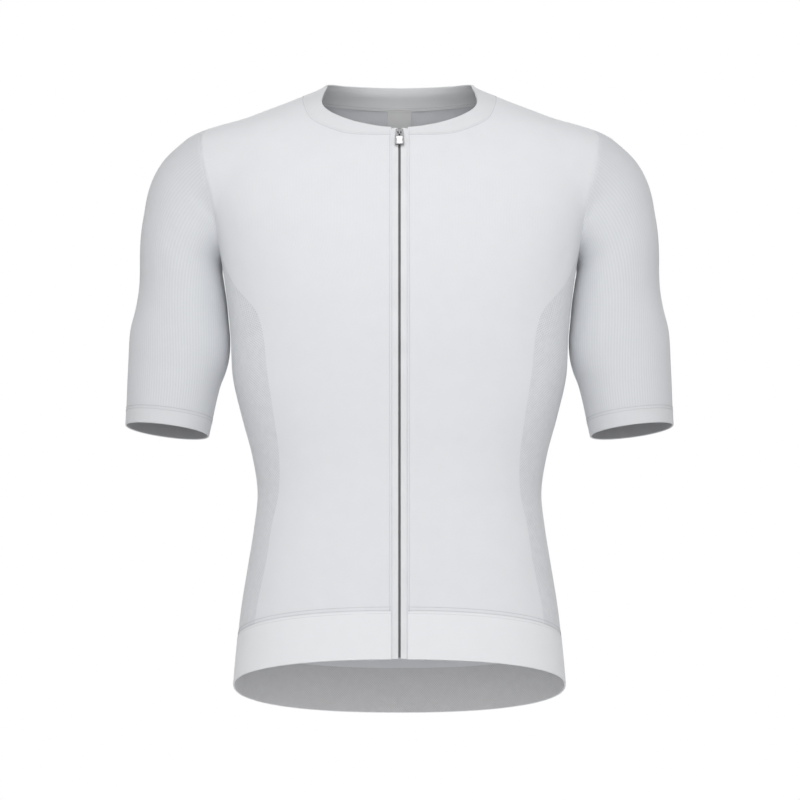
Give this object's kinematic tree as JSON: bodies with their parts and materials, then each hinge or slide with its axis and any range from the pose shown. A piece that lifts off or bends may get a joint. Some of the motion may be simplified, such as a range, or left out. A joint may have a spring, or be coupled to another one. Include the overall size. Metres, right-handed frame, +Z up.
{
  "type": "cycling jersey",
  "caption": "Short-sleeved full-zip cycling jersey in pale knit, filled out as worn, with a low collar, mesh side panels, a hem band that drops at the back and flat rear pockets",
  "frame": {"origin": "where the wearer's neck and shoulders carry the jersey, in the middle of the neck opening at shoulder height", "axes": "+X is the wearer's left, the front faces -Y, +Z is up"},
  "size_m": [0.5458, 0.226, 0.6417],
  "materials": {
    "knit": "fine smooth knit, matt with a slight sheen",
    "side_mesh": "open mesh knit, matt",
    "sleeve_knit": "fine knit with narrow lengthwise ribs",
    "band": "smooth elastic band, gripper dots inside the hem",
    "zip_tape": "smooth bonded zip welt",
    "zip_coil": "dark nylon coil",
    "zip_metal": "polished metal slider and pull",
    "label": "plain satin label, blank"
  },
  "bodies": {
    "root": {"front_left": "knit", "front_right": "knit", "back": "knit", "rear_pockets": "knit", "side_panel_left": "side_mesh", "side_panel_right": "side_mesh", "sleeve_left": "sleeve_knit", "sleeve_right": "sleeve_knit", "cuff_band_left": "band", "cuff_band_right": "band", "collar": "band", "hem_front_left": "band", "hem_front_right": "band", "hem_back": "band", "zip_tape_left": "zip_tape", "zip_tape_right": "zip_tape", "zip_coil": "zip_coil", "zip_slider": "zip_metal", "neck_label": "label"},
    "pull_tab": {"zip_pull": "zip_metal"}
  },
  "joints": [
    {"name": "pull_tab_hinge", "type": "hinge", "parent": "root", "child": "pull_tab", "pos_m": [0, -0.07709, -0.04175], "axis": [-1, 0, 0], "range_deg": [0, 150]}
  ]
}
